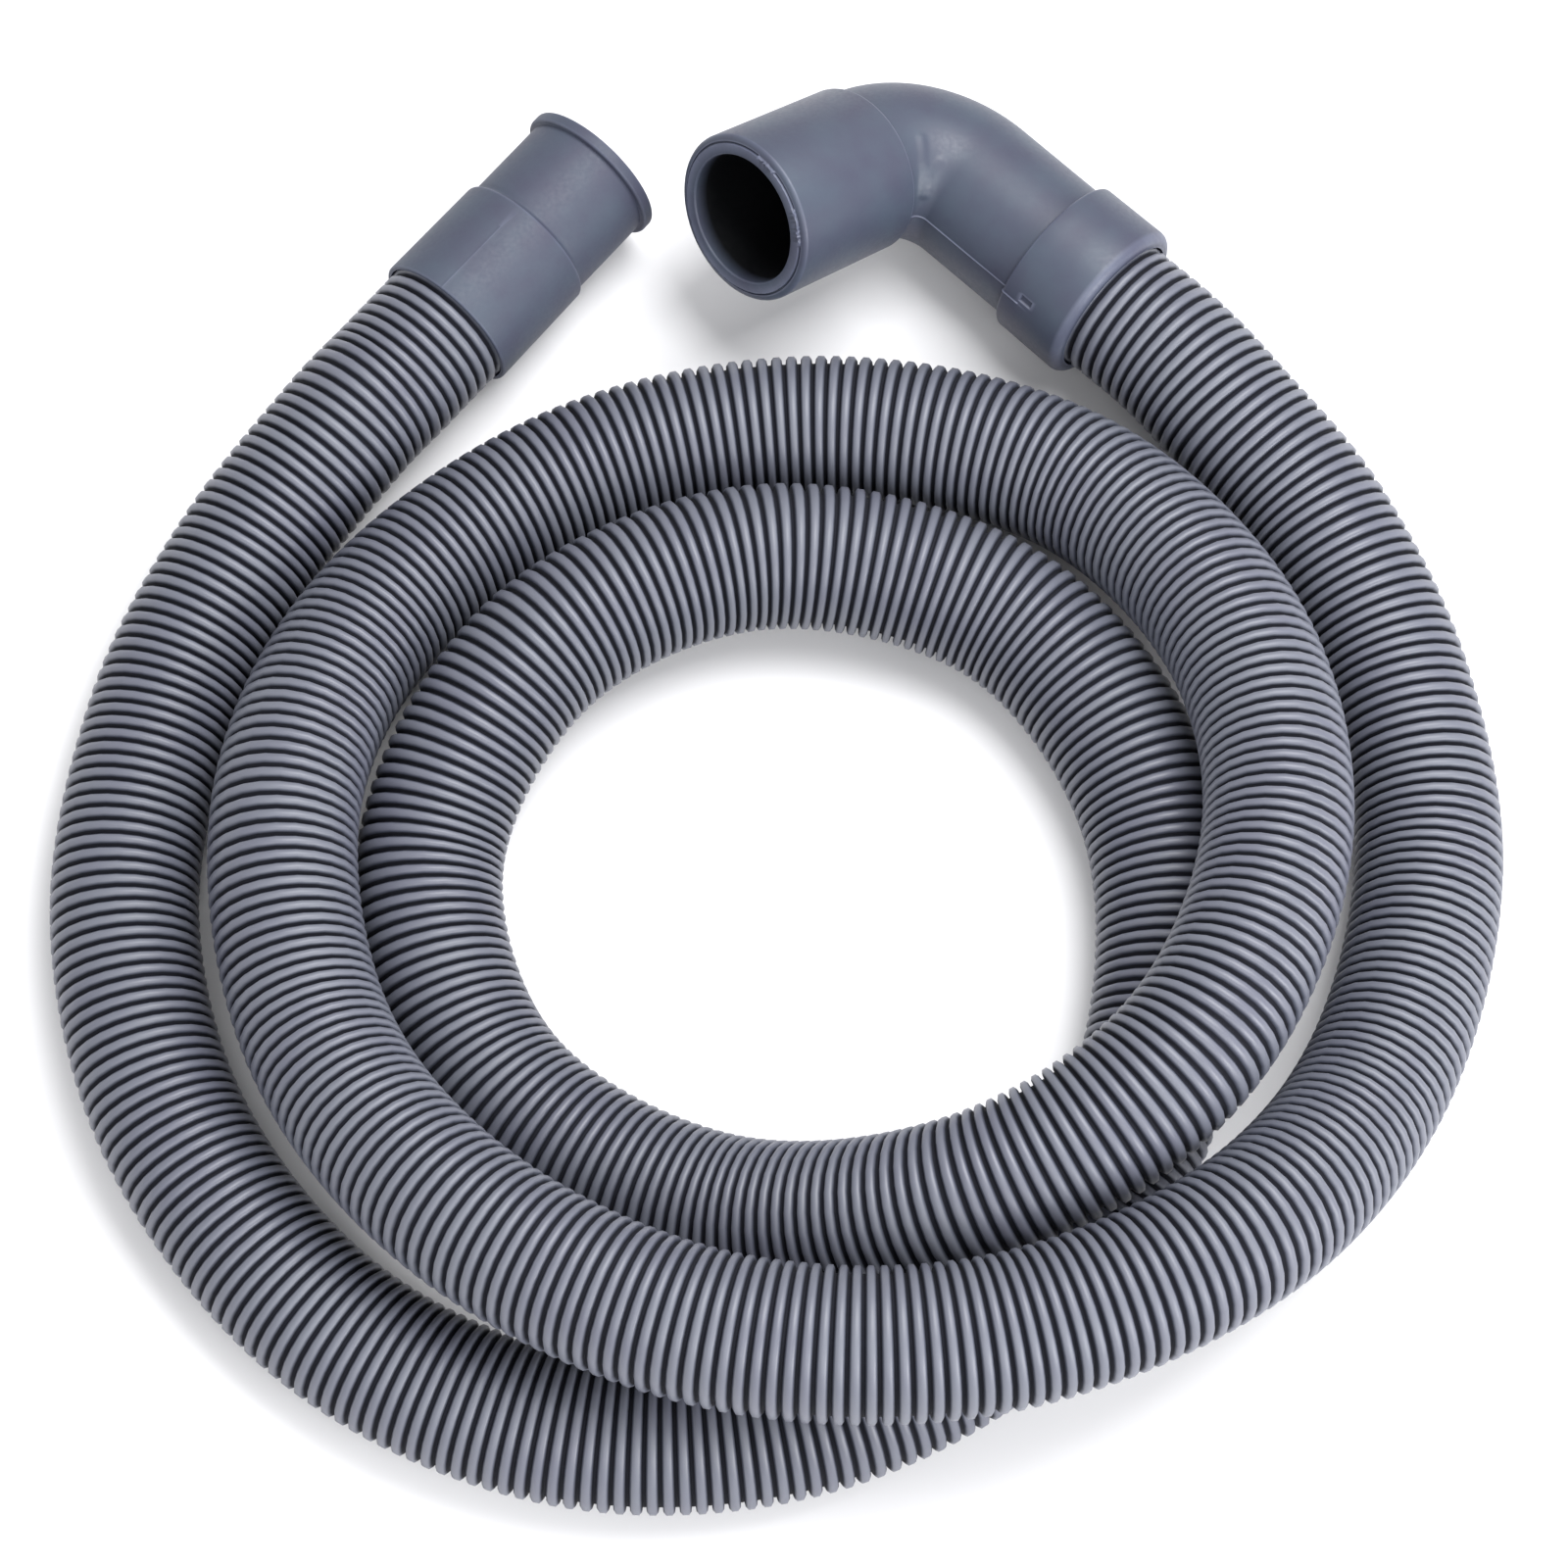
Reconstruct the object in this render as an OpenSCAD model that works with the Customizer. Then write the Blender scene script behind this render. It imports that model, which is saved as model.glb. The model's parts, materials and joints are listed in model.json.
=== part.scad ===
// Drain hose for a caravan's waste water: a ribbed hose lying in a coil, with a
// straight push-on cuff at one end and an elbow with a wider socket at the other.
// Lengths are in millimetres and angles in degrees.
// The origin is on the ground, under the middle of the coil, with +Z up.

/* [Hose] */
// Outside diameter over the ribs
hose_od = 33; // [27:0.5:35]
// Depth of the groove between two ribs
groove_depth = 1.8; // [0.6:0.1:2.2]
// Wall of the hose at the bottom of a groove
hose_wall = 1.2; // [0.8:0.1:4]
// Number of ribs along the whole hose
rib_count = 200; // [120:10:200]
// Length of hose that is held in each fitting
hose_insert = 18; // [10:1:26]

/* [Straight cuff] */
// Wall of the collar round the hose
cuff_collar_wall = 1.05; // [0.9:0.05:4]
// Length of the collar
cuff_collar_len = 27.2; // [20:0.2:40]
// How much narrower in radius the collar gets towards the neck
cuff_collar_draft = 0.3; // [0:0.1:0.8]
// Length of the slope from the collar down to the neck
cuff_slope_len = 1.5; // [0.5:0.1:4]
// Bore of the mouth, which takes the waste pipe
cuff_bore = 28.5; // [24:0.5:31]
// Wall of the neck
cuff_neck_wall = 2.15; // [1.2:0.05:4]
// Length of the neck, from the slope to the lip
cuff_neck_len = 20.8; // [12:0.2:40]
// How far the lip stands out from the neck
cuff_lip_rise = 1.4; // [0.4:0.1:3]
// Length of the lip
cuff_lip_len = 2.8; // [1.5:0.1:6]

/* [Elbow] */
// Wall of the collar round the hose
elbow_collar_wall = 3; // [1.5:0.1:5]
// Length of the collar
elbow_collar_len = 18.8; // [12:0.2:30]
// How much narrower in radius the collar gets towards the neck
elbow_collar_draft = 0.2; // [0:0.1:0.8]
// Bore of the neck and the bend
elbow_bore = 28; // [20:0.5:29]
// Wall of the neck and the bend
elbow_wall = 3.8; // [2:0.1:4.2]
// Length of the straight neck between the collar and the bend
elbow_neck_len = 24.8; // [18:0.2:50]
// Radius of the bend along its middle line
bend_radius = 20.7; // [19.5:0.1:40]
// Angle through which the bend turns
bend_angle = 83.3; // [45:0.1:100]
// Bore of the socket, which takes the wider waste pipe
socket_bore = 30.4; // [26:0.2:34]
// Depth of the socket from its mouth to its pipe stop
socket_depth = 34; // [20:1:35]
// Wall of the socket at its mouth
socket_wall = 4.6; // [3:0.1:6]
// How much thinner the socket's wall is at the bend
socket_draft = 0.4; // [0:0.1:1]
// Length of the socket
socket_len = 36.5; // [35:0.5:60]
// How far the socket is tilted up about the neck
socket_tilt = 24.6; // [0:0.1:90]

/* [Fits] */
// Gap between the ribs and the collar's bore
hose_fit = 0.4; // [0.3:0.05:0.8]
// Gap between the hose's cut end and the stop in its collar
seat_gap = 0.3; // [0.3:0.05:0.8]
// Gap between the collars and the ground
ground_gap = 0.3; // [0.2:0.05:1]

/* [Hidden] */

// Hose: the circle through the ribs' corners loses a tenth of its width where it lies flat.
hose_sides = 8;
crest_r = hose_od / 2;
root_r = crest_r - groove_depth;
bore_r = root_r - hose_wall;
ground_cut = hose_od / 10;
lie_height = crest_r - ground_cut;
// Least wall under the bore where the hose lies flat, and the bore's step between rings.
ground_wall = 0.5;
bore_step = 15;

// Both collars hold the hose in a socket of one width and depth.
collar_bore_r = crest_r + hose_fit;
stop_depth = hose_insert + seat_gap;
cuff_collar_r = collar_bore_r + cuff_collar_wall;
elbow_collar_r = collar_bore_r + elbow_collar_wall;

// Each fitting stands at the middle of its collar's open face and points away from the hose.
cuff_face = [-76.5, 109.5, cuff_collar_r + ground_gap];
cuff_heading = 50;
elbow_face = [76.5, 112.9, elbow_collar_r + ground_gap];
elbow_heading = 136.5;
// Straight run of hose outside each collar.
straight_out = 18;

// Route of the hose from the cuff to the elbow: x, y and the lift above its lying height.
ROUTE = [
    // Outer turn, down the left side and along the front
    [-99.7, 81.7, 5], [-121, 52, 2], [-138, 14, 0], [-144, -36, 0], [-129.3, -86.2, 0],
    [-93, -129, 0], [-42, -150.6, 0], [13, -145.6, 0], [59, -115, 0],
    // Inner turn, which starts under the two that cross it and rises over the one outside it
    [83, -63, 0], [82, -7, 0], [50.8, 37.8, 2], [-4, 49.9, 7], [-53.4, 25.6, 9],
    [-77.2, -22.3, 2], [-61, -73, 0], [-13, -103, 6],
    // Climb over the start of the inner turn, then the middle turn round its outside
    [41, -105.5, 28], [85.7, -77.8, 37], [107.2, -27, 30], [100.2, 25.9, 19], [66, 69.8, 5],
    [12, 85.4, 0], [-44, 74.2, 0], [-89.4, 37, 5], [-108, -13, 15], [-99, -68, 19],
    // Front crossing over the outer turn, then down to the elbow on the right
    [-66, -111.6, 30], [-15, -137.9, 36], [42, -140.2, 37], [94, -118, 32], [127.3, -77.9, 14],
    [143, -25, 2], [138.2, 22.1, 0], [122, 60, 3], [102, 86, 6]
];
// Steps of the smooth line between two route points.
span_steps = 8;

function behind(face, heading, distance) =
    [face.x - distance * cos(heading), face.y - distance * sin(heading), face.z];

control_points = concat(
    [for (out = [-hose_insert, 0, straight_out]) behind(cuff_face, cuff_heading, out)],
    [for (p = ROUTE) [p.x, p.y, p.z + lie_height]],
    [for (out = [straight_out, 0, -hose_insert]) behind(elbow_face, elbow_heading, out)]
);

// Catmull-Rom curve through b and c, with a and d as their neighbours.
function curve(a, b, c, d, t) =
    0.5 * (2 * b + (c - a) * t + (2 * a - 5 * b + 4 * c - d) * t * t
        + (3 * b - a - 3 * c + d) * t * t * t);

function neighbour(points, i) =
    i < 0 ? 2 * points[0] - points[1]
    : i >= len(points) ? 2 * points[i - 1] - points[i - 2]
    : points[i];

function smooth_line(points) = concat(
    [for (i = [0 : len(points) - 2], k = [0 : span_steps - 1])
        curve(neighbour(points, i - 1), points[i], points[i + 1],
            neighbour(points, i + 2), k / span_steps)],
    [points[len(points) - 1]]
);

line = smooth_line(control_points);
line_last = len(line) - 1;
run = [for (i = 0, s = 0; i <= line_last;
            s = s + norm(line[min(i + 1, line_last)] - line[i]), i = i + 1) s];
hose_length = run[line_last];
line_x = [for (i = [0 : line_last]) [run[i], line[i].x]];
line_y = [for (i = [0 : line_last]) [run[i], line[i].y]];
line_z = [for (i = [0 : line_last]) [run[i], line[i].z]];

// Middle of the hose at a length along it, and the way that it runs there.
function middle_at(s) = [lookup(s, line_x), lookup(s, line_y), lookup(s, line_z)];
heading_reach = 3;
function heading_at(s) = unit(middle_at(s + heading_reach) - middle_at(s - heading_reach));
function unit(v) = v / norm(v);

// One ring of points round the hose, none of them below the given height.
function ring(s, radius, lowest) =
    let (
        middle = middle_at(s),
        heading = heading_at(s),
        side = unit(cross([0, 0, 1], heading)),
        top = cross(heading, side)
    )
    [for (k = [0 : hose_sides - 1])
        let (
            a = (k + 0.5) * 360 / hose_sides,
            p = middle + radius * (cos(a) * side + sin(a) * top)
        )
        [p.x, p.y, max(p.z, lowest)]];

// Triangles between rings that follow each other, seen from outside the skin or from inside.
function skin_faces(first, rings, outward) =
    [for (i = [0 : rings - 2], k = [0 : hose_sides - 1], half = [0, 1])
        let (
            a = first + i * hose_sides + k,
            b = first + i * hose_sides + (k + 1) % hose_sides,
            face = half == 0 ? [a, b, b + hose_sides] : [a, b + hose_sides, a + hose_sides]
        )
        outward ? face : [face[2], face[1], face[0]]];

// Triangles of a cut end, between a ring of the outer skin and one of the bore.
function end_faces(outer, inner, outward) =
    [for (k = [0 : hose_sides - 1], half = [0, 1])
        let (
            n = (k + 1) % hose_sides,
            face = half == 0 ? [outer + k, inner + k, inner + n] : [outer + k, inner + n, outer + n]
        )
        outward ? face : [face[2], face[1], face[0]]];

// Least gap between stretches of the hose that lie past each other along it.
gap_points = [for (i = [0 : 2 * rib_count]) middle_at(i * hose_length / (2 * rib_count))];
gap_skip = ceil(2 * hose_od / (hose_length / (2 * rib_count)));
least_gap = min([for (i = [0 : 2 * rib_count - gap_skip], j = [i + gap_skip : 2 * rib_count])
    norm(gap_points[i] - gap_points[j])]) - hose_od;
echo(hose_length = hose_length, least_gap = least_gap);

module hose() {
    outer_rings = 2 * rib_count + 1;
    bore_rings = ceil(hose_length / bore_step) + 1;
    bore_first = outer_rings * hose_sides;
    outer_last = bore_first - hose_sides;
    bore_last = bore_first + (bore_rings - 1) * hose_sides;
    skin = [for (i = [0 : outer_rings - 1])
        each ring(i * hose_length / (outer_rings - 1), i % 2 == 0 ? root_r : crest_r, 0)];
    bore = [for (i = [0 : bore_rings - 1])
        each ring(i * hose_length / (bore_rings - 1), bore_r, ground_wall)];
    color("#8a8d99")
        polyhedron(
            points = concat(skin, bore),
            faces = concat(
                skin_faces(0, outer_rings, false),
                skin_faces(bore_first, bore_rings, true),
                end_faces(0, bore_first, false),
                end_faces(outer_last, bore_last, true)
            )
        );
}

// Points of a rounded edge about its centre, from one angle to another.
edge_steps = 5;
function rounded(x, r, radius, from, to) =
    [for (k = [0 : edge_steps])
        let (a = from + (to - from) * k / edge_steps)
        [x + radius * cos(a), r + radius * sin(a)]];

// Solid of revolution about +X, from points that give the distance along X and the radius.
module turned(points) {
    rotate([0, 90, 0])
        rotate_extrude($fn = 96)
            polygon([for (p = points) [p[1], p[0]]]);
}

module placed(face, heading, tilt) {
    translate(face)
        rotate([tilt, 0, heading])
            children();
}

module straight_cuff() {
    collar_end = cuff_collar_len;
    neck_start = collar_end + cuff_slope_len;
    lip_start = neck_start + cuff_neck_len;
    mouth = lip_start + cuff_lip_len;
    neck_r = cuff_bore / 2 + cuff_neck_wall;
    lip_r = neck_r + cuff_lip_rise;
    collar_edge = min(0.9, cuff_collar_wall * 0.8);
    lip_edge = min(0.9, cuff_lip_len * 0.4);
    lip_back = 150;
    mouth_edge = 0.5;
    color("#6e7387")
        placed(cuff_face, cuff_heading, 0)
            turned(concat(
                rounded(collar_edge, cuff_collar_r - collar_edge, collar_edge, 180, 90),
                [
                    [collar_end, cuff_collar_r - cuff_collar_draft],
                    [neck_start, neck_r],
                    [lip_start - cuff_lip_rise / 2, neck_r],
                    [lip_start, lip_r - lip_edge]
                ],
                rounded(lip_start + lip_edge, lip_r - lip_edge, lip_edge, lip_back, 90),
                rounded(mouth - lip_edge, lip_r - lip_edge, lip_edge, 90, 0),
                [
                    [mouth, cuff_bore / 2 + mouth_edge],
                    [mouth - mouth_edge, cuff_bore / 2],
                    [stop_depth, cuff_bore / 2],
                    [stop_depth, collar_bore_r],
                    [0, collar_bore_r]
                ]
            ));
}

// Sector of a ring along the elbow's bend, which runs a little into the neck and the socket.
module bend(start, r) {
    turn_lap = 3;
    translate([start, bend_radius, 0])
        rotate([0, 0, -90 - turn_lap])
            rotate_extrude(angle = bend_angle + 2 * turn_lap, $fn = 120)
                translate([bend_radius, 0])
                    circle(r = r, $fn = 96);
}

// Moves its children to where the bend ends, with +X along the socket.
module at_bend_end(start) {
    translate([start + bend_radius * sin(bend_angle), bend_radius * (1 - cos(bend_angle)), 0])
        rotate([0, 0, bend_angle])
            children();
}

module elbow() {
    cut = 1;
    bend_step = 0.15;
    neck_r = elbow_bore / 2 + elbow_wall;
    neck_end = elbow_collar_len + elbow_neck_len;
    collar_edge = min(1.8, elbow_collar_wall * 0.6);
    shoulder_edge = min(0.8, elbow_collar_wall * 0.25);
    socket_root_r = socket_bore / 2 + socket_wall - socket_draft;
    socket_r = socket_bore / 2 + socket_wall;
    socket_edge = min(1.5, socket_wall * 0.35);
    socket_start = 1.8;
    mouth = socket_start + socket_len;
    mouth_edge = 0.5;
    color("#6e7387")
        placed(elbow_face, elbow_heading, socket_tilt)
            difference() {
                union() {
                    turned(concat(
                        [[0, 0]],
                        rounded(collar_edge, elbow_collar_r - collar_edge, collar_edge, 180, 90),
                        rounded(elbow_collar_len - shoulder_edge,
                            elbow_collar_r - elbow_collar_draft - shoulder_edge, shoulder_edge, 90, 0),
                        [[elbow_collar_len, neck_r], [neck_end, neck_r], [neck_end, 0]]
                    ));
                    bend(neck_end, neck_r - bend_step);
                    at_bend_end(neck_end)
                        turned(concat(
                            [[0, 0], [0, neck_r], [socket_start, neck_r]],
                            rounded(socket_start + shoulder_edge, socket_root_r - shoulder_edge,
                                shoulder_edge, 180, 90),
                            rounded(mouth - socket_edge, socket_r - socket_edge, socket_edge, 90, 0),
                            [[mouth, 0]]
                        ));
                }
                turned([
                    [-cut, 0], [-cut, collar_bore_r], [stop_depth, collar_bore_r],
                    [stop_depth, elbow_bore / 2], [neck_end, elbow_bore / 2], [neck_end, 0]
                ]);
                bend(neck_end, elbow_bore / 2 - bend_step);
                at_bend_end(neck_end)
                    turned([
                        [0, 0], [0, elbow_bore / 2], [mouth - socket_depth, elbow_bore / 2],
                        [mouth - socket_depth, socket_bore / 2], [mouth - mouth_edge, socket_bore / 2],
                        [mouth + cut, socket_bore / 2 + mouth_edge + cut], [mouth + cut, 0]
                    ]);
            }
}

hose();
straight_cuff();
elbow();
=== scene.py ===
"""Looks of a caravan's waste hose: a ribbed hose in a coil, a straight cuff and an elbow.

Lengths are in metres and angles in degrees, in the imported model's frame: +Z is up, and the
origin is on the ground under the middle of the coil.
"""

import json
import logging
import math
from dataclasses import dataclass
from enum import Enum
from functools import partial
from typing import Any, Callable, Sequence

import bmesh
import bpy
import numpy as np
from bpy.types import Material, Mesh, Node, NodeSocket, NodeTree, Object
from mathutils import Matrix, Vector

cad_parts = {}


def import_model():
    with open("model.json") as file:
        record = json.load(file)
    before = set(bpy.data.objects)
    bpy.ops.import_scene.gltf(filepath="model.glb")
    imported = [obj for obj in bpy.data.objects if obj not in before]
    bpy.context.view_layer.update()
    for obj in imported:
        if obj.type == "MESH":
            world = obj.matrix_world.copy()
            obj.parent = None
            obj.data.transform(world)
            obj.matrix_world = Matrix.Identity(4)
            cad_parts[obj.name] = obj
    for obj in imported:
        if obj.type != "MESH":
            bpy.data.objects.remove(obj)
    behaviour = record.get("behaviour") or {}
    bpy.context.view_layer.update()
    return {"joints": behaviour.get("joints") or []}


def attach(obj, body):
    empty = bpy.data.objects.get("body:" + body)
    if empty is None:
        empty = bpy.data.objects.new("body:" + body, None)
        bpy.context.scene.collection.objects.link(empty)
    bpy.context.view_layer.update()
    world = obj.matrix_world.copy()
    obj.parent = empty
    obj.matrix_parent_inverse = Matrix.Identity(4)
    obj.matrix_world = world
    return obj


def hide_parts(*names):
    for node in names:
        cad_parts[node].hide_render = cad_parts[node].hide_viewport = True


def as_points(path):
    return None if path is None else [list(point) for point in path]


LOG = logging.getLogger("waste_hose")
MM = 0.001
# Name of the map that a piece's material is baked through.
BAKE_MAP = "OFBake"
# Point attributes that the finishes read.
GROOVE = "groove"
# How deep inside a mouth a point lies, for the painted shade there.
DEPTH = "depth_inside"
# Paler sharp edges: painted highlight, with the pale of torn flash.
EDGE = "edge_sheen_and_wear"
# A point this close to a place is on it, and two points this close become one.
NEAR, WELD = 0.01 * MM, 0.001 * MM

# Says whether a point of a mesh is wanted.
Test = Callable[[Vector], bool]

# Route of the hose from the cuff to the elbow: x, y and the lift above its lying height.
ROUTE: tuple[tuple[float, float, float], ...] = (
    # Outer turn, down the left side and along the front
    (-0.0997, 0.0817, 0.005), (-0.121, 0.052, 0.002), (-0.138, 0.014, 0.0),
    (-0.144, -0.036, 0.0), (-0.1293, -0.0862, 0.0), (-0.093, -0.129, 0.0),
    (-0.042, -0.1506, 0.0), (0.013, -0.1456, 0.0), (0.059, -0.115, 0.0),
    # Inner turn, which starts under the two that cross it and rises over the one outside it
    (0.083, -0.063, 0.0), (0.082, -0.007, 0.0), (0.0508, 0.0378, 0.002),
    (-0.004, 0.0499, 0.007), (-0.0534, 0.0256, 0.009), (-0.0772, -0.0223, 0.002),
    (-0.061, -0.073, 0.0), (-0.013, -0.103, 0.006),
    # Climb over the start of the inner turn, then the middle turn round its outside
    (0.041, -0.1055, 0.028), (0.0857, -0.0778, 0.037), (0.1072, -0.027, 0.030),
    (0.1002, 0.0259, 0.019), (0.066, 0.0698, 0.005), (0.012, 0.0854, 0.0),
    (-0.044, 0.0742, 0.0), (-0.0894, 0.037, 0.005), (-0.108, -0.013, 0.015),
    (-0.099, -0.068, 0.019),
    # Front crossing over the outer turn, then down to the elbow on the right
    (-0.066, -0.1116, 0.030), (-0.015, -0.1379, 0.036), (0.042, -0.1402, 0.037),
    (0.094, -0.118, 0.032), (0.1273, -0.0779, 0.014), (0.143, -0.025, 0.002),
    (0.1382, 0.0221, 0.0), (0.122, 0.060, 0.003), (0.102, 0.086, 0.006),
)


def linear(hex_colour: str) -> tuple[float, float, float, float]:
    """Turns an sRGB colour into the linear colour that a shader takes.

    Args:
        hex_colour: The colour as "#RRGGBB".

    Returns:
        Red, green, blue and an alpha of 1.
    """
    values = [int(hex_colour[i:i + 2], 16) / 255 for i in (1, 3, 5)]
    red, green, blue = (
        v / 12.92 if v <= 0.04045 else ((v + 0.055) / 1.055) ** 2.4 for v in values
    )
    return red, green, blue, 1.0


def feed(tree: NodeTree, node: Node, inputs: dict[str, Any]) -> None:
    """Fills a shader node's input sockets.

    Args:
        tree: The node's tree.
        node: The node.
        inputs: What goes into each socket: a value, or another node's output.
    """
    for name, value in inputs.items():
        socket = node.inputs[int(name)] if name.isdigit() else node.inputs[name]
        if isinstance(value, NodeSocket):
            tree.links.new(value, socket)
        else:
            socket.default_value = value


def add_node(
    tree: NodeTree, kind: str, inputs: dict[str, Any] | None = None,
    stops: Sequence[tuple[float, Any]] = (), **settings: Any
) -> Node:
    """Adds one shader node.

    Args:
        tree: The node's tree.
        kind: Blender's name for the kind of node.
        inputs: What goes into its input sockets.
        stops: The place and the linear colour of each stop of its ramp, in order.
        settings: The node's own settings.

    Returns:
        The new node.
    """
    node = tree.nodes.new(kind)
    for name, value in settings.items():
        setattr(node, name, value)
    if stops:
        elements = node.color_ramp.elements
        while len(elements) < len(stops):
            elements.new(1.0)
        for element, stop in zip(elements, stops):
            element.position, element.color = stop
    feed(tree, node, inputs or {})
    return node


def grey(value: float) -> tuple[float, float, float, float]:
    """Returns a linear grey, for a ramp that gives a number."""
    return value, value, value, 1.0


def new_material(name: str) -> tuple[Material, NodeTree, Node]:
    """Starts a material.

    Args:
        name: The material's name.

    Returns:
        The material, its node tree and its Principled node.
    """
    material = bpy.data.materials.new(name)
    material.use_nodes = True
    return material, material.node_tree, material.node_tree.nodes["Principled BSDF"]


@dataclass(frozen=True)
class CorrugatedPolypropylene:
    """Grey polypropylene, drawn out and blown into ribs between moving mould blocks.

    The eye sees satin ribs, lightest on their crowns. Flanks and grooves are painted shade, darker
    with the groove's depth.
    """

    crown: str = "#60636D"
    # Flank and groove colours are painted shade, darker down into the groove.
    flank_shade: str = "#404450"
    groove: str = "#070A19"
    dusty: str = "#EDEBF2"
    clean: str = "#FFFFFF"
    mottle_size: float = 22 * MM
    # The real grain is finer. It is drawn coarser, so that it shows.
    grain_size: float = 0.7 * MM
    ior: float = 1.49

    def material(self) -> Material:
        """Makes the hose's material, painted darker with the depth in the groove at each point:
        painted shade.

        Returns:
            The material.
        """
        material, tree, shader = new_material("corrugated_polypropylene")
        depth = add_node(tree, "ShaderNodeAttribute", attribute_name=GROOVE).outputs["Fac"]
        place = add_node(tree, "ShaderNodeTexCoord").outputs["Object"]
        mottle, grain = (
            add_node(
                tree, "ShaderNodeTexNoise", {"Vector": place, "Scale": 1 / size, "Detail": detail}
            ).outputs["Fac"]
            for size, detail in ((self.mottle_size, 3.0), (self.grain_size, 2.0))
        )
        # Painted shade: the colour falls from crown to flank to a near-black groove bottom.
        painted_groove_shade = (
            (0.0, linear(self.crown)), (0.08, linear(self.crown)),
            (0.32, linear(self.flank_shade)), (0.52, linear(self.groove)), (1.0, linear(self.groove)),
        )
        wall, tint, polish, dulled = (
            add_node(tree, "ShaderNodeValToRGB", {"Fac": factor}, stops).outputs["Color"]
            for factor, stops in (
                (depth, painted_groove_shade),
                (mottle, ((0.3, linear(self.dusty)), (0.7, linear(self.clean)))),
                (mottle, ((0.3, grey(0.0)), (0.7, grey(0.1)))),
                (depth, ((0.2, grey(0.39)), (0.6, grey(0.85)))),
            )
        )
        colour = add_node(
            tree, "ShaderNodeMix", {"0": 1.0, "6": wall, "7": tint},
            data_type="RGBA", blend_type="MULTIPLY",
        )
        rough = add_node(tree, "ShaderNodeMath", {"0": polish, "1": dulled}, operation="ADD")
        bump = add_node(
            tree, "ShaderNodeBump", {"Height": grain, "Strength": 0.12, "Distance": 0.05 * MM}
        )
        feed(tree, shader, {
            "Base Color": colour.outputs[2], "Roughness": rough.outputs[0],
            "Normal": bump.outputs["Normal"], "IOR": self.ior,
        })
        return material


class ToolSteel(Enum):
    """How a mould's steel is finished: the least and the most roughness that it leaves."""

    SATIN = (0.42, 0.52)
    MATT = (0.54, 0.64)


@dataclass(frozen=True)
class SoftPvcMoulding:
    """Blue-grey plasticised PVC, injection moulded in a satin or a matt tool.

    The eye sees a slightly waxy sheen with soft highlights, faint flow clouds and a fine grain.
    Edges, seams and flash are painted a little paler: a painted highlight where edges catch light,
    and the pale of torn flash. A matt tool leaves next to no highlight.
    """

    tool: ToolSteel = ToolSteel.SATIN
    skin: str = "#37394A"
    cloud: str = "#3B4351"
    # Painted shade deep inside a mouth, where little light reaches.
    inside: str = "#040508"
    # Paler colour of edges, seams and flash: painted highlight, and the pale of torn flash.
    edge_sheen_and_rub: str = "#666A7E"
    cloud_size: float = 14 * MM
    # The real grain is finer. It is drawn coarser, so that it shows.
    grain_size: float = 0.9 * MM
    ior: float = 1.46

    def material(self) -> Material:
        """Makes the fittings' material, painted darker with the depth inside a mouth: painted
        shade.

        Returns:
            The material.
        """
        material, tree, shader = new_material(f"{self.tool.name.lower()}_soft_pvc")
        depth = add_node(tree, "ShaderNodeAttribute", attribute_name=DEPTH).outputs["Fac"]
        place = add_node(tree, "ShaderNodeTexCoord").outputs["Object"]
        clouds, grain = (
            add_node(
                tree, "ShaderNodeTexNoise",
                {"Vector": place, "Scale": 1 / size, "Detail": detail, "Roughness": fine},
            ).outputs["Fac"]
            for size, detail, fine in ((self.cloud_size, 4.0, 0.6), (self.grain_size, 3.0, 0.5))
        )
        least, most = self.tool.value
        skin, rough = (
            add_node(tree, "ShaderNodeValToRGB", {"Fac": factor}, stops).outputs["Color"]
            for factor, stops in (
                (clouds, ((0.32, linear(self.skin)), (0.68, linear(self.cloud)))),
                (grain, ((0.3, grey(least)), (0.7, grey(most)))),
            )
        )
        # Sharp edges painted paler: painted highlight, with the pale of torn flash.
        edge = add_node(tree, "ShaderNodeAttribute", attribute_name=EDGE).outputs["Fac"]
        edge_sheen_and_rub_mask = add_node(
            tree, "ShaderNodeMath", {"0": edge, "1": clouds}, operation="MULTIPLY"
        ).outputs[0]
        skin_with_edge_sheen_and_rub = add_node(
            tree, "ShaderNodeMix", {"0": edge_sheen_and_rub_mask, "6": skin, "7": linear(self.edge_sheen_and_rub)},
            data_type="RGBA",
        ).outputs[2]
        # Painted shade: darker with the depth inside a mouth.
        colour = add_node(
            tree, "ShaderNodeMix", {"0": depth, "6": skin_with_edge_sheen_and_rub, "7": linear(self.inside)},
            data_type="RGBA",
        )
        bump = add_node(
            tree, "ShaderNodeBump", {"Height": grain, "Strength": 0.15, "Distance": 0.04 * MM}
        )
        feed(tree, shader, {
            "Base Color": colour.outputs[2], "Roughness": rough,
            "Normal": bump.outputs["Normal"], "IOR": self.ior,
        })
        return material


@dataclass(frozen=True)
class MattePaper:
    """White backdrop paper, uncoated: an even pale field without a highlight."""

    sheet: str = "#E2E2E4"
    # Real fibres are finer. These are coarser, so that they show.
    fibre_size: float = 1.5 * MM

    def material(self) -> Material:
        """Makes the floor's material.

        Returns:
            The material.
        """
        material, tree, shader = new_material("uncoated_paper")
        place = add_node(tree, "ShaderNodeTexCoord").outputs["Object"]
        fibre = add_node(
            tree, "ShaderNodeTexNoise", {"Vector": place, "Scale": 1 / self.fibre_size}
        ).outputs["Fac"]
        bump = add_node(
            tree, "ShaderNodeBump", {"Height": fibre, "Strength": 0.05, "Distance": 0.05 * MM}
        )
        feed(tree, shader, {
            "Base Color": linear(self.sheet), "Roughness": 0.95, "Normal": bump.outputs["Normal"],
        })
        return material


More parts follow.
